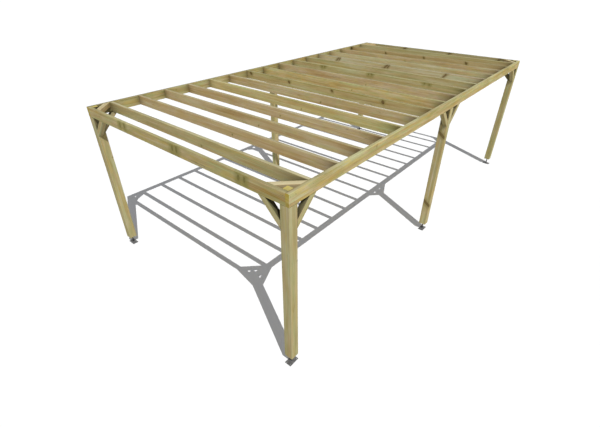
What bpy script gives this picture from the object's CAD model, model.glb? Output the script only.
"""Garden pergola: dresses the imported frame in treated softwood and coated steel.

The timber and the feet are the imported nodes. This script gives each its own finish, adds the
screws that hold the frame together, and sets the floor, the light and the camera.
"""

import logging
import math
import random
from dataclasses import dataclass
from enum import Enum
from typing import Callable

import bmesh
import bpy
from mathutils import Matrix, Vector


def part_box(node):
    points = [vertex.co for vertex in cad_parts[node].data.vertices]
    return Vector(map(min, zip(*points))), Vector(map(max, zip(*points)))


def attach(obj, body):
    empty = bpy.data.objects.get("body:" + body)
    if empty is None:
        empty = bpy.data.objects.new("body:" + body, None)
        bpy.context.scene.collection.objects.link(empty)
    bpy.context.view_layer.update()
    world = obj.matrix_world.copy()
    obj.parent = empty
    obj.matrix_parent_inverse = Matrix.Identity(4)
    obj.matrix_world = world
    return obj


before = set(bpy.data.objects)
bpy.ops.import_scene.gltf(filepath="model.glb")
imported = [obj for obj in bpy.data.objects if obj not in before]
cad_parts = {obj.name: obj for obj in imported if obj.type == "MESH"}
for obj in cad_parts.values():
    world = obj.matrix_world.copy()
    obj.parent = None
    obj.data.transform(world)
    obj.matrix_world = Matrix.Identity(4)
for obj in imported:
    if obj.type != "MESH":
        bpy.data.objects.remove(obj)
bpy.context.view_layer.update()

log = logging.getLogger("pergola")

Socket = bpy.types.NodeSocket
Triple = tuple[float, float, float]
Colour = Triple
Spot = tuple[Vector, Vector]

PLACES = ("front_left", "front_right", "middle_left", "middle_right", "back_left", "back_right")
CORNERS = tuple(place for place in PLACES if not place.startswith("middle"))
RAFTERS = tuple(f"rafter_{number:02d}" for number in range(1, 17))
X, Y, Z = range(3)
# Which way each side and end lies along its axis
WAYS = {"left": -1, "right": 1, "front": -1, "back": 1}
# Each part of a unit vector at 45 degrees
SLOPE = math.sqrt(0.5)


class Grain(Enum):
    """The way the grain runs: unit vectors along the piece, across it and through it."""

    ACROSS = ((1, 0, 0), (0, 1, 0), (0, 0, 1))
    LENGTHWAYS = ((0, 1, 0), (0, 0, 1), (1, 0, 0))
    UPRIGHT = ((0, 0, 1), (1, 0, 0), (0, 1, 0))
    KNEE = ((SLOPE, 0, SLOPE), (SLOPE, 0, -SLOPE), (0, 1, 0))
    FLAT_BRACE = ((SLOPE, -SLOPE, 0), (SLOPE, SLOPE, 0), (0, 0, 1))


class Cut(Enum):
    """How much of the red heart a piece shows: its strength and its radius in metres."""

    SAPWOOD = (0.25, 0.030)
    MIXED = (0.70, 0.055)
    HEARTWOOD = (0.90, 0.120)


class Wave(Enum):
    """A noise: its waves per metre along, across and through the grain, and its octaves.

    Two read something else than a place: YEAR the number of a ring, and RAY the angle in it.
    """

    BLOTCH = ((1.9, 7.0, 7.0), 3.0)
    STREAK = ((0.9, 24.0, 24.0), 3.0)
    THREAD = ((1.6, 75.0, 75.0), 2.0)
    FIBRE = ((7.0, 320.0, 320.0), 3.0)
    GREEN = ((1.3, 10.0, 10.0), 3.0)
    WARM = ((0.8, 24.0, 24.0), 2.0)
    RESIN = ((1.1, 34.0, 34.0), 2.0)
    PATCH = ((5.0, 24.0, 24.0), 3.0)
    PITH = ((0.7, 0.0, 0.0), 1.0)
    HEART = ((0.8, 14.0, 14.0), 3.0)
    RING = ((2.2, 22.0, 22.0), 2.0)
    YEAR = ((0.73, 1.0, 1.0), 0.0)
    RAY = ((26.0, 1.0, 1.0), 2.0)
    BRANCH = ((40.0, 60.0, 60.0), 2.0)
    HALO = ((10.0, 34.0, 34.0), 3.0)
    CHECK = ((0.8, 38.0, 38.0), 1.0)
    CHECKED = ((1.3, 9.0, 9.0), 1.0)
    DAMP = ((3.0, 14.0, 14.0), 2.0)
    DUST = ((30.0, 30.0, 30.0), 3.0)
    SPECKLE = ((900.0, 900.0, 900.0), 2.0)
    TARNISH = ((260.0, 260.0, 260.0), 3.0)


@dataclass(frozen=True)
class Knots:
    """Where a piece's branches come through: one whorl, and the same again every so often.

    The point is in the piece's grain frame, in metres from its middle, and way is the run of a
    branch through it. A branch that runs nearly along the face shows as a long spike. Hue goes
    from 0 for a brown knot to 1 for an olive one. Twin is how far on a second branch stands, or 0
    for none.
    """

    point: Triple
    way: Triple
    spacing: float
    radius: float
    hue: float
    twin: float = 0.0

    @classmethod
    def drawn(cls, draw: random.Random) -> "Knots":
        """Picks a plain set for a piece that needs no particular one.

        Args:
            draw: The piece's own random numbers.

        Returns:
            The set.
        """
        return cls(
            point=(draw.uniform(-0.8, 0.8), 0.0, 0.0),
            way=(draw.uniform(0.2, 0.5), draw.choice((-0.8, 0.8)), draw.choice((-0.6, 0.6))),
            spacing=draw.uniform(1.3, 2.3),
            radius=draw.uniform(0.006, 0.010),
            hue=draw.uniform(0.2, 1.0),
        )


# The front face of a board from its middle, and a branch that shows on it as a spike
FRONT = -0.0225
SPIKE = (0.72, 0.33, 0.61)
PLAIN = Knots((0.31, 0.010, 0.0), (0.4, 0.6, 0.6), spacing=2.7, radius=0.004, hue=0.6)


@dataclass(frozen=True)
class Plank:
    """What one piece of wood is like beside the rest.

    Level, green and blue are factors on its colour, and top is one on what faces up. Figure is the
    strength of its streaks. Grime is how dark its sheltered corners get, and stain is the same
    for a wider reach to windward. Pith is how far up from its middle the heart lies, in metres, or
    None to draw it, and so are the knots. Seed picks another figure than the one that goes with
    the piece's place in its set.
    """

    cut: Cut
    level: float
    blue: float = 1.0
    top: float = 0.95
    figure: float = 1.0
    grime: float = 0.66
    stain: float = 0.60
    green: float = 1.0
    pith: float | None = None
    knots: Knots | None = PLAIN
    seed: int | None = None


@dataclass(frozen=True)
class Rings:
    """Where a point lies in the growth rings.

    Section is its offset from the pith and radial its distance. Late is how far into late wood it
    is, and inside is how far into the heart.
    """

    section: Socket
    radial: Socket
    late: Socket
    inside: Socket


class Graph:
    """A short way to write shader nodes.

    Given holds a group's own inputs by name, and under Seeded its point moved by its seed.
    """

    def __init__(self, tree: bpy.types.NodeTree) -> None:
        """Keeps the tree that the nodes go into."""
        self.tree = tree
        self.given: dict[str, Socket] = {}

    def add(self, kind: str, *values: object, **settings: object) -> bpy.types.Node:
        """Adds a node.

        Args:
            kind: The node's type name.
            values: Sockets or plain values for its first inputs.
            settings: Values for its properties.

        Returns:
            The new node.
        """
        node = self.tree.nodes.new(kind)
        for name, value in settings.items():
            setattr(node, name, value)
        for socket, value in zip(node.inputs, values):
            self.feed(socket, value)
        return node

    def feed(self, socket: Socket, value: object) -> None:
        """Fills an input.

        Args:
            socket: The input.
            value: A socket to link into it, a plain value, or None to leave it alone.
        """
        if isinstance(value, bpy.types.NodeSocket):
            self.tree.links.new(value, socket)
        elif value is not None:
            socket.default_value = value

    def math(self, operation: str, *values: object, clamp: bool = False) -> Socket:
        """One Math node's result, which clamp holds between 0 and 1."""
        return self.add("ShaderNodeMath", *values, operation=operation, use_clamp=clamp).outputs[0]

    def vector(self, operation: str, *values: object, scale: object = None) -> Socket:
        """One Vector Math node.

        Args:
            operation: Its operation.
            values: Sockets or vectors for its inputs.
            scale: The factor of a SCALE.

        Returns:
            The vector, or the number that a product or a length gives.
        """
        node = self.add("ShaderNodeVectorMath", *values, operation=operation)
        if scale is not None:
            self.feed(node.inputs["Scale"], scale)
        return node.outputs["Value" if operation in ("DOT_PRODUCT", "LENGTH") else "Vector"]

    def combine(self, x: object, y: object, z: object) -> Socket:
        """Three numbers made a vector."""
        return self.add("ShaderNodeCombineXYZ", x, y, z).outputs[0]

    def separate(self, vector: Socket) -> tuple[Socket, Socket, Socket]:
        """A vector's three numbers."""
        return tuple(self.add("ShaderNodeSeparateXYZ", vector).outputs)

    def point(self) -> Socket:
        """The point in the object's own coordinates, which are the frame's."""
        return self.add("ShaderNodeTexCoord").outputs["Object"]

    def noise(self, place: Socket, wave: Wave, colour: bool = False) -> Socket:
        """Noise on stretched coordinates.

        Args:
            place: The point, in metres.
            wave: Which noise.
            colour: Whether to give three numbers instead of one.

        Returns:
            The noise, which centres on 0.5.
        """
        stretch, detail = wave.value
        node = self.add("ShaderNodeTexNoise", self.vector("MULTIPLY", place, stretch))
        node.inputs["Scale"].default_value = 1.0
        node.inputs["Detail"].default_value = detail
        return node.outputs["Color" if colour else 0]

    def chance(self, key: Socket) -> tuple[Socket, Socket, Socket]:
        """Three random numbers between 0 and 1 that stay the same for the same key."""
        node = self.add("ShaderNodeTexWhiteNoise", key, noise_dimensions="3D")
        return self.separate(node.outputs["Color"])

    def swing(self, noise: Socket, amount: float) -> Socket:
        """Noise turned into a number between -amount and amount."""
        return self.math("MULTIPLY", self.math("SUBTRACT", noise, 0.5), 2.0 * amount)

    def band(self, value: Socket, low: float, high: float, smooth: bool = True) -> Socket:
        """A number that goes from 0 at low to 1 at high, and stays there; low may be the larger."""
        ease = "SMOOTHSTEP" if smooth else "LINEAR"
        return self.add("ShaderNodeMapRange", value, low, high, interpolation_type=ease).outputs[0]

    def mix(self, factor: object, first: object, second: object) -> Socket:
        """Two colours mixed.

        Args:
            factor: How much of the second colour shows.
            first: The first colour or its socket.
            second: The second.

        Returns:
            The mixed colour.
        """
        node = self.add("ShaderNodeMix", factor, data_type="RGBA")
        for socket, colour in zip(node.inputs[6:8], (first, second)):
            self.feed(socket, (*colour, 1.0) if isinstance(colour, tuple) else colour)
        return node.outputs[2]

    def shade(self, colour: object, amount: Socket) -> Socket:
        """A colour made lighter or darker by a factor near 1."""
        return self.vector("SCALE", colour, scale=amount)

    def steep(self, colour: Socket, amount: Socket) -> Socket:
        """A colour made paler or deeper: the blue in it changes most and the red least."""
        red, blue = (self.math("POWER", amount, power) for power in (0.6, 1.7))
        return self.vector("MULTIPLY", colour, self.combine(red, amount, blue))

    def bump(self, height: Socket, distance: float) -> Socket:
        """A normal from a height, of which 1 stands for a distance in metres."""
        return self.add("ShaderNodeBump", None, distance, None, height).outputs[0]

    def rays(self, *kinds: str) -> Socket:
        """Tells some rays from the rest.

        Args:
            kinds: Light Path's names for them.

        Returns:
            1 for a ray of one of the kinds, and 0 for any other.
        """
        path = self.add("ShaderNodeLightPath").outputs
        chosen = path[kinds[0]]
        for kind in kinds[1:]:
            chosen = self.math("MAXIMUM", chosen, path[kind])
        return chosen


def blank(name: str) -> tuple[bpy.types.Material, Graph, bpy.types.Node]:
    """Starts a material.

    Args:
        name: Its name.

    Returns:
        The material, its graph and its shader.
    """
    material = bpy.data.materials.new(name)
    material.use_nodes = True
    return material, Graph(material.node_tree), material.node_tree.nodes["Principled BSDF"]


def paint(node: str, material: bpy.types.Material) -> None:
    """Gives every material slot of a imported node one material.

    Args:
        node: The node.
        material: The material.
    """
    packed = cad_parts[node]
    if not packed.material_slots:
        packed.data.materials.append(material)
    for held in packed.material_slots:
        held.material = material


def at(places: tuple[str, ...], kind: str) -> tuple[str, ...]:
    """Names the nodes of a kind at some places."""
    return tuple(f"{place}_{kind}" for place in places)


def flank(node: str, axis: int, way: int) -> float:
    """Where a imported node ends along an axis: its low side for -1 and its high side for 1."""
    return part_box(node)[way > 0][axis]


@dataclass(frozen=True)
class Softwood:
    """Planed pine, pressure treated: greenish sapwood, pinkish heart, rings, knots and checks.

    Lengths are in metres. Wobble is how uneven rings and knots are, and wander how far the pith
    strays. Twin_way turns a whorl's second branch and twin_rise lifts it, and whorl_slide and
    whorl_lift are how far a whorl strays. Blotch, streak, thread and fibre are how far each makes
    the wood lighter or darker. Grime_reach and stain_reach are how near a sheltering piece is.
    Knee_middle is a knee brace's middle, from its post's axis and its own top, and knee_apart how
    much further along its twin is cut.
    """

    sapwood: Colour = (0.470, 0.411, 0.194)
    fresh_green: Colour = (0.395, 0.387, 0.166)
    warm_streak: Colour = (0.530, 0.394, 0.201)
    resin_streak: Colour = (0.530, 0.398, 0.122)
    heartwood: Colour = (0.535, 0.394, 0.207)
    pink_patch: Colour = (0.590, 0.430, 0.245)
    olive_patch: Colour = (0.415, 0.398, 0.160)
    gold_patch: Colour = (0.570, 0.420, 0.140)
    bleached: Colour = (0.440, 0.415, 0.270)
    end_grain: Colour = (0.492, 0.352, 0.037)
    end_weathered: Colour = (0.585, 0.468, 0.122)
    knot_brown: Colour = (0.170, 0.105, 0.040)
    knot_olive: Colour = (0.225, 0.193, 0.060)
    halo_brown: Colour = (0.300, 0.225, 0.080)
    halo_olive: Colour = (0.305, 0.270, 0.085)
    crevice: Colour = (0.022, 0.016, 0.006)
    ring_width: float = 0.0055
    bleaching: float = 0.60
    wobble: float = 0.006
    wander: float = 0.045
    ring_bend: float = 0.016
    twin_way: Triple = (-0.55, 1.0, -1.0)
    twin_rise: float = 0.012
    whorl_slide: float = 0.03
    whorl_lift: float = 0.008
    blotch: float = 0.22
    streak: float = 0.34
    thread: float = 0.18
    fibre: float = 0.12
    late_wood: float = 0.20
    grime_reach: float = 0.20
    stain_reach: float = 0.35
    windward: Triple = (0.9, 0.0, 0.0)
    roughness: float = 0.74
    gloss: float = 0.12
    relief: float = 0.001
    knee_middle: Triple = (0.180, -0.025, -0.120)
    knee_apart: Triple = (1.2, 0.0, 1.2)

    def branch(self, g: Graph, salt: float) -> Socket:
        """Runs one branch through each whorl along the piece.

        Args:
            g: The group's graph.
            salt: Tells the two branches of a whorl apart: 0 for the first and 1 for its twin.

        Returns:
            The distance to the nearest branch, in its own radii.
        """
        place, spacing = g.given["Place"], g.given["Spacing"]
        point, way = g.given["Knot"], g.given["Way"]
        if salt:
            way = g.vector("MULTIPLY", way, self.twin_way)
            point = g.vector("ADD", point, g.combine(g.given["Twin"], 0.0, self.twin_rise))
        along = g.separate(g.vector("SUBTRACT", place, point))[X]
        count = g.math("ROUND", g.math("DIVIDE", along, spacing))
        slide, lift, size = g.chance(g.vector("ADD", g.given["Seed"], g.combine(count, salt, 0.0)))
        along = g.math("MULTIPLY_ADD", count, spacing, g.swing(slide, self.whorl_slide))
        moved = g.combine(along, 0.0, g.swing(lift, self.whorl_lift))
        arm = g.vector("SUBTRACT", place, g.vector("ADD", point, moved))
        way = g.vector("NORMALIZE", way)
        out = g.vector("DOT_PRODUCT", arm, way)
        off = g.vector("LENGTH", g.vector("SUBTRACT", arm, g.vector("SCALE", way, scale=out)))
        off = g.math("ADD", off, g.swing(g.noise(place, Wave.BRANCH), self.wobble))
        radius = g.math("MULTIPLY", g.given["Girth"], g.math("MULTIPLY_ADD", size, 0.35, 0.80))
        return g.math("DIVIDE", off, radius)

    def rings(self, g: Graph, reach: Socket) -> Rings:
        """Draws growth rings about a pith that wanders along the piece and bends round the knots.

        Args:
            g: The group's graph.
            reach: The distance to the nearest branch, in its own radii.

        Returns:
            Where the point lies in them.
        """
        seeded = g.given["Seeded"]
        wander = g.vector("SUBTRACT", g.noise(seeded, Wave.PITH, colour=True), (0.5, 0.5, 0.5))
        section = g.vector("SUBTRACT", g.given["Place"], g.given["Pith"])
        section = g.vector("SUBTRACT", section, g.vector("SCALE", wander, scale=self.wander))
        section = g.vector("MULTIPLY", section, (0.0, 1.0, 1.0))
        radial = g.vector("LENGTH", section)
        radial = g.math("ADD", radial, g.swing(g.noise(seeded, Wave.RING), self.wobble))
        radial = g.math("MULTIPLY_ADD", g.band(reach, 4.0, 0.0), self.ring_bend, radial)
        count = g.math("DIVIDE", radial, self.ring_width)
        part = g.math("FRACT", count)
        late = g.math("MULTIPLY", g.band(part, 0.35, 0.90), g.band(part, 1.0, 0.93))
        year = g.noise(g.combine(g.math("FLOOR", count), 0.0, 0.0), Wave.YEAR)
        late = g.math("MULTIPLY", late, g.band(year, 0.25, 0.75))
        edge = g.math("ADD", radial, g.swing(g.noise(seeded, Wave.HEART), 0.050))
        inside = g.band(g.math("SUBTRACT", edge, g.given["Heart Radius"]), 0.020, -0.020)
        return Rings(section, radial, late, inside)

    def shelter(self, g: Graph, distance: float, normal: Socket | None) -> Socket:
        """Measures how open a point is, from 0 where other pieces shut it in to 1.

        Args:
            g: The group's graph.
            distance: How far away a piece still counts, in metres.
            normal: The way to look, or None for straight out.

        Returns:
            The openness.
        """
        node = g.add("ShaderNodeAmbientOcclusion", samples=12)
        g.feed(node.inputs["Distance"], distance)
        g.feed(node.inputs["Normal"], normal)
        return node.outputs["AO"]

    def tint(self, g: Graph, inside: Socket) -> Socket:
        """Lays sapwood, heart, warm and resinous streaks, and pinkish, greenish and golden patches.

        Args:
            g: The group's graph.
            inside: How far a point is in the heart.

        Returns:
            The colour before the rings and the fibre.
        """
        seeded = g.given["Seeded"]
        shifts = ((9.0, 4.0, 2.0), (3.0, 8.0, 6.0), (6.0, 1.0, 7.0))
        for_warm, for_resin, for_patches = (g.vector("ADD", seeded, shift) for shift in shifts)
        green = g.band(g.noise(seeded, Wave.GREEN), 0.50, 0.68)
        warm = g.band(g.noise(for_warm, Wave.WARM), 0.48, 0.64)
        resin = g.band(g.noise(for_resin, Wave.RESIN), 0.58, 0.70)
        colour = g.mix(g.math("MULTIPLY", green, 0.75), self.sapwood, self.fresh_green)
        colour = g.mix(g.math("MULTIPLY", warm, 0.60), colour, self.warm_streak)
        colour = g.mix(g.math("MULTIPLY", inside, g.given["Heart"]), colour, self.heartwood)
        colour = g.mix(g.math("MULTIPLY", resin, 0.55), colour, self.resin_streak)
        patchy = g.math("SUBTRACT", g.given["Figure"], 1.0, clamp=True)
        patches = g.separate(g.noise(for_patches, Wave.PATCH, colour=True))
        for patch, stain in zip(patches, (self.pink_patch, self.olive_patch, self.gold_patch)):
            colour = g.mix(g.math("MULTIPLY", g.band(patch, 0.50, 0.64), patchy), colour, stain)
        return colour

    def knot(self, g: Graph, colour: Socket, reach: Socket) -> tuple[Socket, Socket]:
        """Draws the knots: a dark rim round a brown or olive heart, in a warm halo.

        Args:
            g: The group's graph.
            colour: The colour of the wood round them.
            reach: The distance to the nearest branch, in its own radii.

        Returns:
            The colour with the knots, and how far a point is in one.
        """
        hue = g.given["Hue"]
        spread = g.math("DIVIDE", reach, g.math("MULTIPLY_ADD", hue, 1.6, 1.0))
        spread = g.math("ADD", spread, g.swing(g.noise(g.given["Seeded"], Wave.HALO), 1.3))
        halo = g.mix(hue, self.halo_brown, self.halo_olive)
        colour = g.mix(g.math("MULTIPLY", g.band(spread, 2.6, 0.6), 0.75), colour, halo)
        core = g.band(reach, 1.10, 0.92)
        blur = g.math("SUBTRACT", g.band(reach, 1.80, 0.30), core)
        core = g.math("MULTIPLY_ADD", blur, hue, core)
        heart = g.mix(hue, self.knot_brown, self.knot_olive)
        heart = g.shade(heart, g.math("MULTIPLY_ADD", g.band(reach, 0.4, 0.95), -0.45, 1.15))
        return g.mix(core, colour, heart), core

    def ends(self, g: Graph, colour: Socket, rings: Rings, lying: Socket) -> Socket:
        """Colours end grain, which drinks more of the treatment.

        Args:
            g: The group's graph.
            colour: The colour of the wood behind it.
            rings: Where the point lies in the rings.
            lying: How flat the cut lies.

        Returns:
            The colour of a cut end.
        """
        _, across, through = g.separate(rings.section)
        ray = g.noise(g.combine(g.math("ARCTAN2", through, across), 0.0, 0.0), Wave.RAY)
        damp = g.band(g.noise(g.given["Seeded"], Wave.DAMP), 0.35, 0.62)
        damp = g.math("MAXIMUM", damp, g.math("MULTIPLY", rings.inside, 1.5))
        ends = g.mix(lying, self.end_grain, self.end_weathered)
        ends = g.mix(g.math("MULTIPLY", damp, 0.30), ends, colour)
        heart = g.band(rings.radial, 0.055, 0.015)
        ends = g.shade(ends, g.math("MULTIPLY_ADD", rings.late, -0.28, 1.06))
        ends = g.shade(ends, g.math("MULTIPLY_ADD", heart, -0.14, 1.04))
        return g.shade(ends, g.math("ADD", 1.0, g.swing(ray, 0.10)))

    def weather(self, g: Graph, colour: Socket) -> Socket:
        """Gathers grime and stain where pieces meet, most on the side that the rain comes from.

        Args:
            g: The group's graph.
            colour: The clean colour.

        Returns:
            The colour with both.
        """
        aloft = g.band(g.separate(g.point())[Z], 0.5, 1.0)
        near = g.band(self.shelter(g, self.grime_reach, None), 1.0, 0.30, smooth=False)
        windward = g.vector("ADD", g.given["Normal"], self.windward)
        wide = g.band(self.shelter(g, self.stain_reach, windward), 0.86, 0.30, smooth=False)
        for hidden, amount in ((near, g.given["Grime"]), (wide, g.given["Stain"])):
            hidden = g.math("MULTIPLY", g.math("MULTIPLY", hidden, amount), aloft)
            colour = g.mix(hidden, colour, self.crevice)
        return colour

    def group(self) -> bpy.types.NodeTree:
        """Builds the wood's figure once, for all the pieces to share.

        Returns:
            The node group, with Place and Facing in the piece's own grain frame.
        """
        tree = bpy.data.node_groups.new("softwood_figure", "ShaderNodeTree")
        for way, kind, names in (
            ("INPUT", "Vector", "Place,Facing,Normal,Pith,Tone,Seed,Knot,Way"),
            ("INPUT", "Float", "Heart,Heart Radius,Top,Figure,Grime,Stain,Spacing,Girth,Hue,Twin"),
            ("OUTPUT", "Color", "Color"),
            ("OUTPUT", "Float", "Roughness,Height"),
        ):
            for name in names.split(","):
                tree.interface.new_socket(name, in_out=way, socket_type="NodeSocket" + kind)
        g = Graph(tree)
        g.given = {socket.name: socket for socket in g.add("NodeGroupInput").outputs}
        seeded = g.given["Seeded"] = g.vector("ADD", g.given["Place"], g.given["Seed"])
        lying = g.band(g.separate(g.given["Normal"])[Z], 0.60, 0.95)
        end = g.band(g.separate(g.vector("ABSOLUTE", g.given["Facing"]))[X], 0.75, 0.90)

        # A branch in every whorl, and on some pieces its twin
        first, second = (self.branch(g, salt) for salt in (0.0, 1.0))
        alone = g.math("LESS_THAN", g.given["Twin"], 0.001)
        reach = g.math("MINIMUM", first, g.math("MULTIPLY_ADD", alone, 50.0, second))
        rings = self.rings(g, reach)

        # Light and dark: blotches, streaks, fibre and late wood
        blotch, streak, thread, fibre = (
            g.noise(seeded, wave) for wave in (Wave.BLOTCH, Wave.STREAK, Wave.THREAD, Wave.FIBRE)
        )
        level = g.math("ADD", 1.04, g.swing(blotch, self.blotch))
        for noise, amount in ((streak, self.streak), (thread, self.thread), (fibre, self.fibre)):
            level = g.math("ADD", level, g.swing(noise, amount))
        level = g.math("MULTIPLY_ADD", rings.late, -self.late_wood, level)
        level = g.math("MULTIPLY_ADD", g.math("SUBTRACT", level, 1.0), g.given["Figure"], 1.0)
        colour = g.steep(self.tint(g, rings.inside), level)
        colour, core = self.knot(g, colour, reach)

        # Drying checks: thin dark lines that follow the grain for a while
        crack = g.math("ABSOLUTE", g.math("SUBTRACT", g.noise(seeded, Wave.CHECK), 0.5))
        checked = g.band(g.noise(seeded, Wave.CHECKED), 0.60, 0.68)
        crack = g.math("MULTIPLY", g.band(crack, 0.008, 0.002), checked)
        colour = g.shade(colour, g.math("MULTIPLY_ADD", crack, -0.55, 1.0))

        # The sun bleaches what lies flat, apart from end grain
        ends = self.ends(g, colour, rings, lying)
        bleached = g.shade(self.bleached, level)
        colour = g.mix(g.math("MULTIPLY", lying, self.bleaching), colour, bleached)
        top = g.math("SUBTRACT", g.given["Top"], 1.0)
        colour = g.shade(colour, g.math("MULTIPLY_ADD", lying, top, 1.0))
        colour = g.vector("MULTIPLY", g.mix(end, colour, ends), g.given["Tone"])

        rough = g.math("ADD", self.roughness, g.swing(fibre, 0.10))
        height = g.math("ADD", g.swing(fibre, 0.10), g.math("MULTIPLY", rings.late, 0.10))
        height = g.math("MULTIPLY_ADD", crack, -0.8, height)
        out = g.add("NodeGroupOutput").inputs
        g.feed(out["Color"], self.weather(g, colour))
        g.feed(out["Roughness"], g.math("MULTIPLY_ADD", end, 0.12, rough, clamp=True))
        g.feed(out["Height"], g.math("MULTIPLY_ADD", core, 0.15, height))
        return tree

    def unfold(self, g: Graph, point: Socket, braces: str) -> Socket:
        """Lays the two knee braces of a post over each other: out from it, sideways and up.

        Args:
            g: The graph.
            point: A point on one of them.
            braces: Their node.

        Returns:
            The point, from the middle of a brace.
        """
        low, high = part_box(braces.replace("knee_braces", "post"))
        middle = (low + high) / 2
        middle.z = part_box(braces)[1].z
        turn = (-math.copysign(1.0, middle.x), -math.copysign(1.0, middle.y), 1.0)
        x, y, z = g.separate(g.vector("MULTIPLY", g.vector("SUBTRACT", point, tuple(middle)), turn))
        if braces.startswith("middle"):
            second = g.math("GREATER_THAN", y, 0.0)
            y = g.math("ABSOLUTE", y)
        else:
            second = g.math("GREATER_THAN", y, x)
        laid = g.combine(g.math("MAXIMUM", x, y), g.math("MINIMUM", x, y), z)
        laid = g.vector("SUBTRACT", laid, self.knee_middle)
        return g.vector("ADD", laid, g.vector("SCALE", self.knee_apart, scale=second))

    def material(
        self,
        name: str,
        figure: bpy.types.NodeTree,
        grain: Grain,
        plank: Plank,
        centre: Vector,
        seed: int,
    ) -> bpy.types.Material:
        """Makes one piece's own timber.

        Args:
            name: The piece, for the material's name.
            figure: The shared group.
            grain: The way the grain runs.
            plank: What the piece of wood is like.
            centre: The middle of the piece.
            seed: Picks the figure.

        Returns:
            The material.
        """
        draw = random.Random(seed)
        material, g, shader = blank("timber_" + name)
        point = g.point()
        world = normal = g.add("ShaderNodeNewGeometry").outputs["True Normal"]
        if grain is Grain.KNEE:
            point = self.unfold(g, point, name)
        else:
            point = g.vector("SUBTRACT", point, tuple(centre))
        if grain is Grain.FLAT_BRACE:
            turn = (math.copysign(1.0, centre.x), math.copysign(1.0, centre.y), 1.0)
            point, normal = (g.vector("MULTIPLY", part, turn) for part in (point, normal))
        place = g.combine(*(g.vector("DOT_PRODUCT", point, axis) for axis in grain.value))
        if grain is Grain.KNEE:
            facing = g.combine(0.0, 0.0, 1.0)
        else:
            facing = g.combine(*(g.vector("DOT_PRODUCT", normal, axis) for axis in grain.value))
        wood = g.add("ShaderNodeGroup", node_tree=figure)
        angle = draw.uniform(0.0, math.tau)
        offset = draw.uniform(0.005, 0.025)
        knots = plank.knots or Knots.drawn(draw)
        pith = (0.0, offset * math.cos(angle), offset * math.sin(angle))
        if plank.pith is not None:
            pith = (0.0, plank.pith, 0.0)
        heart, heart_radius = plank.cut.value
        for socket, value in (
            ("Place", place),
            ("Facing", facing),
            ("Normal", world),
            ("Pith", pith),
            ("Heart", heart),
            ("Heart Radius", heart_radius),
            ("Tone", (plank.level, plank.level * plank.green, plank.level * plank.blue)),
            ("Top", plank.top),
            ("Figure", plank.figure),
            ("Grime", plank.grime),
            ("Stain", plank.stain),
            ("Seed", [draw.uniform(3.0, 60.0) for _ in range(3)]),
            ("Knot", knots.point),
            ("Way", knots.way),
            ("Spacing", knots.spacing),
            ("Girth", knots.radius),
            ("Hue", knots.hue),
            ("Twin", knots.twin),
        ):
            g.feed(wood.inputs[socket], value)
        shader.inputs["Specular IOR Level"].default_value = self.gloss
        g.feed(shader.inputs["Base Color"], wood.outputs["Color"])
        g.feed(shader.inputs["Roughness"], wood.outputs["Roughness"])
        g.feed(shader.inputs["Normal"], g.bump(wood.outputs["Height"], self.relief))
        return material


@dataclass
class Timber:
    """A set of like timbers: which nodes, how their grain runs and what each is like."""

    nodes: tuple[str, ...]
    grain: Grain
    planks: tuple[Plank, ...]
    first_seed: int

    def dress(self, wood: Softwood, figure: bpy.types.NodeTree) -> None:
        """Gives each node its own piece of wood.

        Args:
            wood: The finish.
            figure: The finish's shared group.
        """
        for index, node in enumerate(self.nodes):
            low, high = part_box(node)
            plank = self.planks[index % len(self.planks)]
            centre = (low + high) / 2
            seed = plank.seed or self.first_seed + index
            paint(node, wood.material(node, figure, self.grain, plank, centre, seed))
            log.info("%s: %s, %s", node, self.grain.name.lower(), plank.cut.name.lower())


@dataclass(frozen=True)
class CoatedSteel:
    """Nearly black powder coat on a welded foot, dusty grey where it lies flat."""

    coat: Colour = (0.024, 0.025, 0.027)
    dust: Colour = (0.190, 0.185, 0.178)
    least_dust: float = 0.40
    more_dust: float = 0.45
    roughness: float = 0.5
    relief: float = 0.0003

    def material(self) -> bpy.types.Material:
        """Makes the coat.

        Returns:
            The material.
        """
        material, g, shader = blank("coated_steel")
        point = g.point()
        up = g.separate(g.add("ShaderNodeNewGeometry").outputs["True Normal"])[Z]
        cloud = g.noise(point, Wave.DUST)
        settled = g.math("MULTIPLY_ADD", g.band(cloud, 0.35, 0.70), self.more_dust, self.least_dust)
        settled = g.math("MULTIPLY", g.band(up, 0.3, 1.0), settled)
        g.feed(shader.inputs["Base Color"], g.mix(settled, self.coat, self.dust))
        g.feed(shader.inputs["Roughness"], g.math("ADD", self.roughness, g.swing(cloud, 0.15)))
        g.feed(shader.inputs["Normal"], g.bump(g.noise(point, Wave.SPECKLE), self.relief))
        return material


@dataclass(frozen=True)
class PassivatedSteel:
    """Dull yellow-brown coat of an outdoor timber screw."""

    coat: Colour = (0.360, 0.295, 0.150)
    dull: Colour = (0.230, 0.185, 0.095)
    metal: float = 0.5
    roughness: float = 0.45

    def material(self) -> bpy.types.Material:
        """Makes the coat.

        Returns:
            The material.
        """
        material, g, shader = blank("passivated_steel")
        cloud = g.noise(g.point(), Wave.TARNISH)
        shader.inputs["Metallic"].default_value = self.metal
        colour = g.mix(g.band(cloud, 0.35, 0.70), self.coat, self.dull)
        g.feed(shader.inputs["Base Color"], colour)
        g.feed(shader.inputs["Roughness"], g.math("ADD", self.roughness, g.swing(cloud, 0.15)))
        return material


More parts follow.
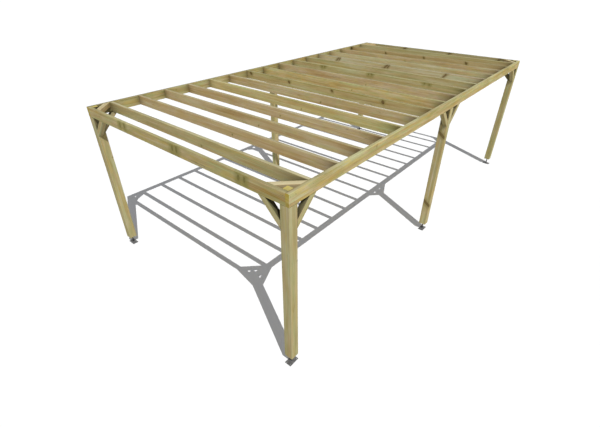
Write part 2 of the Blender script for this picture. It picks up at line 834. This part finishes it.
@dataclass
class Screws:
    """Countersunk timber screws with a star socket: one head, copied to every joint.

    Socket is the star's radius and waist its inner corners' share of that. Recess and ease are its
    depth and the rim's chamfer, as shares of proud. Edge is how far in from a timber's edge a
    screw goes, and lean how far each of a pair is moved aside. Seed turns them.
    """

    radius: float = 0.0050
    proud: float = 0.0006
    sunk: float = 0.0010
    socket: float = 0.0026
    waist: float = 0.72
    recess: float = 0.8
    ease: float = 0.6
    edge: float = 0.035
    lean: float = 0.012
    sides: int = 12
    seed: int = 7

    def pick(
        self, head: bpy.types.Object, edges: bool, test: Callable[[list[Vector]], bool]
    ) -> None:
        """Selects the head's faces or edges whose corners pass a test.

        Args:
            head: The head, in edit mode.
            edges: Whether to go through the edges instead of the faces.
            test: Says whether a list of corners is wanted.
        """
        bpy.ops.mesh.select_mode(type="EDGE" if edges else "FACE")
        bpy.ops.mesh.select_all(action="DESELECT")
        mesh = bmesh.from_edit_mesh(head.data)
        for part in mesh.edges if edges else mesh.faces:
            if test([corner.co for corner in part.verts]):
                part.select_set(True)
        bmesh.update_edit_mesh(head.data)

    def sink(self, depth: float) -> None:
        """Extrudes what is selected straight down."""
        bpy.ops.mesh.extrude_region_move(TRANSFORM_OT_translate={"value": (0.0, 0.0, -depth)})

    def head(self) -> bpy.types.Object:
        """Models one head at the origin, looking up, with its top at z = 0.

        Returns:
            The head, a closed shell.
        """
        within = 0.8 * self.radius
        centre = (0.0, 0.0, 0.0)
        bpy.ops.object.select_all(action="DESELECT")
        bpy.ops.mesh.primitive_circle_add(vertices=self.sides, radius=self.radius, fill_type="NGON")
        head = bpy.context.object
        bpy.ops.object.mode_set(mode="EDIT")
        bpy.ops.mesh.select_all(action="SELECT")
        bpy.ops.mesh.inset(thickness=self.radius - self.socket)

        # The star: every second corner of the inner face is drawn in, and the face goes down
        bpy.ops.mesh.select_mode(type="VERT")
        bpy.ops.mesh.select_all(action="DESELECT")
        mesh = bmesh.from_edit_mesh(head.data)
        for corner in mesh.verts:
            step = round(math.atan2(corner.co.y, corner.co.x) / math.tau * self.sides)
            corner.select_set(corner.co.length < within and step % 2 == 0)
        bmesh.update_edit_mesh(head.data)
        bpy.ops.transform.resize(value=(self.waist, self.waist, 1.0), center_override=centre)
        self.pick(head, False, lambda corners: all(co.length < within for co in corners))
        self.sink(self.recess * self.proud)

        # The rim goes down into the wood and is closed below, and its top edge is eased
        self.pick(head, True, lambda corners: all(co.length > within for co in corners))
        self.sink(self.proud + self.sunk)
        bpy.ops.mesh.edge_face_add()
        self.pick(
            head, True, lambda corners: all(co.z == 0.0 and co.length > within for co in corners)
        )
        bpy.ops.mesh.bevel(offset=self.ease * self.proud, segments=1, affect="EDGES")
        bpy.ops.mesh.select_all(action="SELECT")
        bpy.ops.mesh.normals_make_consistent(inside=False)
        bpy.ops.object.mode_set(mode="OBJECT")
        return head

    def mitred(self, corner: Vector, first: Vector, second: Vector, reach: float) -> list[Spot]:
        """Puts a head near each tip of a brace, on the face that looks away from the corner.

        Args:
            corner: Where the two pieces that it braces meet, at the middle of its width.
            first: The unit vector along one of them.
            second: The unit vector along the other.
            reach: How far along each the brace comes.

        Returns:
            The two spots.
        """
        outward = (first + second).normalized()
        near, far = self.edge, reach - self.edge
        return [(corner + first * a + second * b, outward) for a, b in ((near, far), (far, near))]

    def pair(self, x: float, y: float, beam: str, outward: Vector, lean: Vector) -> list[Spot]:
        """Puts two heads one over the other through a beam.

        Args:
            x: Where they are across the frame.
            y: Where they are along it.
            beam: The beam.
            outward: The way they look.
            lean: How far the upper one is moved aside, and the lower one the other way.

        Returns:
            The two spots.
        """
        upper = Vector((x, y, flank(beam, Z, 1) - self.edge)) + lean
        lower = Vector((x, y, flank(beam, Z, -1) + self.edge)) - lean
        return [(upper, outward), (lower, outward)]

    def long_beam(self, side: str) -> list[Spot]:
        """Lists the heads on a long beam's outer face: rafters, end beams and corner posts.

        Args:
            side: Left or right.

        Returns:
            The spots.
        """
        beam, way = f"{side}_beam", WAYS[side]
        x, outward = flank(beam, X, way), Vector((way, 0, 0))
        spots = []
        for crossing in (*RAFTERS, "front_beam", "back_beam"):
            y = (flank(crossing, Y, -1) + flank(crossing, Y, 1)) / 2
            spots += self.pair(x, y, beam, outward, Vector())
        for end in ("front", "back"):
            inner = -WAYS[end]
            y = flank(f"{end}_{side}_post", Y, inner) - inner * self.edge
            spots += self.pair(x, y, beam, outward, Vector((0.0, self.lean, 0.0)))
        return spots

    def end_beam(self, end: str) -> list[Spot]:
        """Lists the heads on an end beam's outer face, where it crosses the two posts.

        Args:
            end: Front or back.

        Returns:
            The spots.
        """
        beam, way = f"{end}_beam", WAYS[end]
        y, outward = flank(beam, Y, way), Vector((0, way, 0))
        spots = []
        for side in ("left", "right"):
            inner = -WAYS[side]
            x = flank(f"{end}_{side}_post", X, inner) - inner * self.edge
            spots += self.pair(x, y, beam, outward, Vector((self.lean, 0.0, 0.0)))
        return spots

    def knee_braces(self) -> list[Spot]:
        """Lists the heads under the knee braces, one into the post and one into the beam.

        Returns:
            The spots.
        """
        down = Vector((0, 0, -1))
        # A corner brace lies flat and is as thick as a knee brace
        flat = "front_left_corner_brace"
        half = (flank(flat, Z, 1) - flank(flat, Z, -1)) / 2
        spots = []
        for place in PLACES:
            end, side = place.split("_")
            post, braces, out = f"{place}_post", f"{place}_knee_braces", WAYS[side]
            seat = flank(f"{side}_beam", Z, -1)
            reach = seat - flank(braces, Z, -1)
            x = flank(braces, X, out) - out * half
            for way in {"front": (1,), "middle": (-1, 1), "back": (-1,)}[end]:
                corner = Vector((x, flank(post, Y, way), seat))
                spots += self.mitred(corner, Vector((0, way, 0)), down, reach)
            if end != "middle":
                y = flank(braces, Y, WAYS[end]) - WAYS[end] * half
                corner = Vector((flank(post, X, -out), y, seat))
                spots += self.mitred(corner, Vector((-out, 0, 0)), down, reach)
        return spots

    def corner_braces(self) -> list[Spot]:
        """Lists the heads on the inner faces of the corner braces.

        Returns:
            The spots.
        """
        spots = []
        for place in CORNERS:
            end, side = place.split("_")
            brace, out, away = f"{place}_corner_brace", WAYS[side], WAYS[end]
            height = (flank(brace, Z, -1) + flank(brace, Z, 1)) / 2
            corner = Vector((flank(brace, X, out), flank(brace, Y, away), height))
            reach = flank(brace, X, 1) - flank(brace, X, -1)
            spots += self.mitred(corner, Vector((-out, 0, 0)), Vector((0, -away, 0)), reach)
        return spots

    def build(self, finish: bpy.types.Material) -> None:
        """Models the head once, copies it to every spot and joins each set of copies.

        Args:
            finish: The screws' material.
        """
        sets = {
            "left_beam_screws": self.long_beam("left"),
            "right_beam_screws": self.long_beam("right"),
            "front_beam_screws": self.end_beam("front"),
            "back_beam_screws": self.end_beam("back"),
            "knee_brace_screws": self.knee_braces(),
            "corner_brace_screws": self.corner_braces(),
        }
        draw = random.Random(self.seed)
        head = self.head()
        head.data.materials.append(finish)
        for name, spots in sets.items():
            bpy.ops.object.select_all(action="DESELECT")
            for point, outward in spots:
                copy = head.copy()
                copy.data = head.data.copy()
                bpy.context.collection.objects.link(copy)
                turned = outward.to_track_quat("Z", "Y").to_matrix().to_4x4()
                turned = turned @ Matrix.Rotation(draw.uniform(0.0, math.tau), 4, "Z")
                copy.data.transform(Matrix.Translation(point + outward * self.proud) @ turned)
                copy.select_set(True)
                bpy.context.view_layer.objects.active = copy
            bpy.ops.object.join()
            piece = bpy.context.object
            piece.name = name
            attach(piece, "root")
            log.info("%s: %d heads", name, len(spots))
        bpy.data.objects.remove(head)


@dataclass
class Studio:
    """White ground that keeps the shadow, a hard sun with soft sky light, and the camera.

    Turn and dip are the camera's, in degrees. Sky_low and sky_high are the sky's levels, and it
    goes from one up to the other between the heights sky_from and sky_to.
    """

    eye: Triple = (3.922, -6.020, 4.172)
    turn: float = 40.193
    dip: float = 33.125
    lens: float = 22.205
    sensor: float = 36.0
    sight: float = 400.0
    sun_along: Triple = (-0.632, 0.327, -1.0)
    sun: float = 2.985
    sun_width: float = 0.15
    sky_low: float = 0.57
    sky_high: float = 0.123
    sky_from: float = 0.40
    sky_to: float = 0.75
    sky_cast: Colour = (0.97, 1.0, 1.06)
    white: Colour = (1.0, 1.0, 1.0)
    ground_bounce: float = 0.45
    ground_size: float = 240.0

    def floor(self) -> None:
        """Lays the ground: white to the eye, and duller to the light that it throws back up."""
        bpy.ops.object.select_all(action="DESELECT")
        bpy.ops.mesh.primitive_plane_add(size=self.ground_size)
        ground = bpy.context.object
        ground.name = "ground"
        material, g, _ = blank("pale_ground")
        seen = g.rays("Is Camera Ray", "Is Glossy Ray")
        shader = g.add("ShaderNodeBsdfDiffuse")
        g.feed(shader.inputs["Color"], g.mix(seen, (self.ground_bounce,) * 3, self.white))
        out = material.node_tree.nodes["Material Output"]
        g.feed(out.inputs["Surface"], shader.outputs[0])
        ground.data.materials.append(material)

    def light(self) -> None:
        """Sets the sun and the sky; the sky is white to the eye and in gloss."""
        bpy.ops.object.light_add(type="SUN")
        lamp = bpy.context.object
        lamp.name = "sun"
        lamp.rotation_euler = Vector(self.sun_along).to_track_quat("-Z", "Y").to_euler()
        lamp.data.energy = self.sun
        lamp.data.angle = math.radians(self.sun_width)
        world = bpy.data.worlds.new("sky")
        bpy.context.scene.world = world
        world.use_nodes = True
        g = Graph(world.node_tree)
        seen = g.rays("Is Camera Ray", "Is Glossy Ray", "Is Transmission Ray")
        height = g.separate(g.add("ShaderNodeTexCoord").outputs["Generated"])[Z]
        low, high = (
            tuple(part * level for part in self.sky_cast) for level in (self.sky_low, self.sky_high)
        )
        lit = g.mix(g.band(height, self.sky_from, self.sky_to), low, high)
        back = world.node_tree.nodes["Background"]
        g.feed(back.inputs["Color"], g.mix(seen, lit, self.white))

    def camera(self) -> None:
        """Stands the camera and gives the picture its plain view settings."""
        tilt = (math.radians(90.0 - self.dip), 0.0, math.radians(self.turn))
        bpy.ops.object.camera_add(location=self.eye, rotation=tilt)
        camera = bpy.context.object
        camera.data.lens = self.lens
        camera.data.sensor_width = self.sensor
        camera.data.clip_end = self.sight
        bpy.context.scene.camera = camera
        bpy.context.scene.view_settings.view_transform = "Standard"


def rafters() -> tuple[Plank, ...]:
    """Lists what the rafters are like, from the front to the back.

    Returns:
        One plank for each.
    """
    sap, mixed, heart = Cut
    lone = (0.50, 0.75, -0.45)
    pins = (0.35, 0.80, 0.45)
    low = Knots((0.15, FRONT, 0.032), lone, spacing=0.99, radius=0.021, hue=0.1)
    pairs = Knots((0.06, FRONT, 0.040), pins, spacing=1.16, radius=0.013, hue=0.9, twin=0.055)
    spikes = Knots((-0.11, FRONT, 0.020), SPIKE, spacing=1.29, radius=0.017, hue=0.2, twin=0.055)
    last = Knots((0.11, FRONT, 0.028), lone, spacing=1.02, radius=0.021, hue=0.1)
    return (
        Plank(sap, 1.16, 1.00, top=0.82, figure=1.3, grime=0.20),
        Plank(heart, 1.06, 1.00, top=0.82, figure=1.3),
        Plank(heart, 1.02, 0.95, top=0.82, figure=1.3),
        Plank(heart, 1.07, 1.00, top=0.80, figure=1.3),
        Plank(mixed, 1.16, 0.86, top=0.79, figure=1.3),
        Plank(heart, 1.02, 0.95, top=0.82, figure=1.4),
        Plank(mixed, 1.04, 0.88, top=0.70, figure=1.2, knots=low),
        Plank(mixed, 1.17, 0.88, top=0.60, figure=1.5),
        Plank(heart, 1.09, 1.02, top=0.55, figure=1.4),
        Plank(sap, 1.03, 0.93, top=0.76, figure=1.2, knots=pairs),
        Plank(sap, 1.06, 0.98, top=0.74, figure=1.3),
        Plank(sap, 1.24, 1.18, top=0.50, figure=1.1, knots=spikes),
        Plank(sap, 1.22, 1.07, top=0.50, figure=1.3),
        Plank(heart, 1.04, 0.97, top=0.56, figure=1.5, knots=None),
        Plank(heart, 0.92, 0.86, top=0.55, figure=1.2, knots=last),
        Plank(sap, 1.00, 0.94, top=0.78, figure=1.2),
    )


def timbers() -> list[Timber]:
    """Lists the frame's timber, each set with its grain and what its pieces are like.

    Returns:
        The sets, in the order in which they are dressed.
    """
    sap, mixed, heart = Cut
    slant = Knots((0.655, 0.0, -0.055), (-0.60, 0.79, 0.12), spacing=1.276, radius=0.022, hue=0.3)
    eyes = Knots(
        (0.156, FRONT, 0.012), (0.20, 0.50, 0.84), spacing=1.171, radius=0.016, hue=1.0, twin=0.09
    )
    spikes = Knots((0.40, FRONT, 0.055), SPIKE, spacing=1.20, radius=0.022, hue=0.3)
    posts = (
        Plank(sap, 0.92, figure=1.4, grime=1.0),
        Plank(sap, 0.95, 1.01, figure=1.2, grime=1.0, seed=27),
        Plank(sap, 1.02, figure=1.3, grime=1.0, knots=None),
        Plank(sap, 1.04, 1.04, figure=1.4, grime=1.0, stain=0.9, knots=slant, seed=94),
        Plank(mixed, 0.95, figure=1.3, grime=1.0, knots=None),
        Plank(sap, 0.93, figure=1.4, grime=1.0, stain=0.9, green=1.03),
    )
    long_beams = (
        Plank(sap, 0.91, 0.90, top=0.62, figure=1.5, grime=0.50, stain=0.50),
        Plank(mixed, 0.98, 0.90, top=0.96, figure=1.7, pith=-0.055),
    )
    end_beams = (
        Plank(mixed, 0.90, 0.87, figure=1.6, knots=eyes),
        Plank(sap, 1.02, 1.00, top=0.45, knots=spikes),
    )
    knee_brace = Plank(sap, 1.04, grime=1.0)
    corner_brace = Plank(heart, 1.06, 0.96, top=1.15, grime=0.15, stain=0.10)
    return [
        Timber(at(PLACES, "post"), Grain.UPRIGHT, posts, first_seed=11),
        Timber(("left_beam", "right_beam"), Grain.LENGTHWAYS, long_beams, first_seed=31),
        Timber(("front_beam", "back_beam"), Grain.ACROSS, end_beams, first_seed=41),
        Timber(RAFTERS, Grain.ACROSS, rafters(), first_seed=51),
        Timber(at(PLACES, "knee_braces"), Grain.KNEE, (knee_brace,), first_seed=71),
        Timber(at(CORNERS, "corner_brace"), Grain.FLAT_BRACE, (corner_brace,), first_seed=91),
    ]


def main() -> None:
    """Dresses the frame, and sets the studio round it."""
    logging.basicConfig(level=logging.INFO, format="%(name)s: %(message)s")
    wood = Softwood()
    figure = wood.group()
    for timber in timbers():
        timber.dress(wood, figure)
    steel = CoatedSteel().material()
    for foot in at(PLACES, "foot"):
        paint(foot, steel)
    log.info("feet: coated steel")
    Screws().build(PassivatedSteel().material())
    studio = Studio()
    studio.floor()
    studio.light()
    studio.camera()


if __name__ == "__main__":
    main()
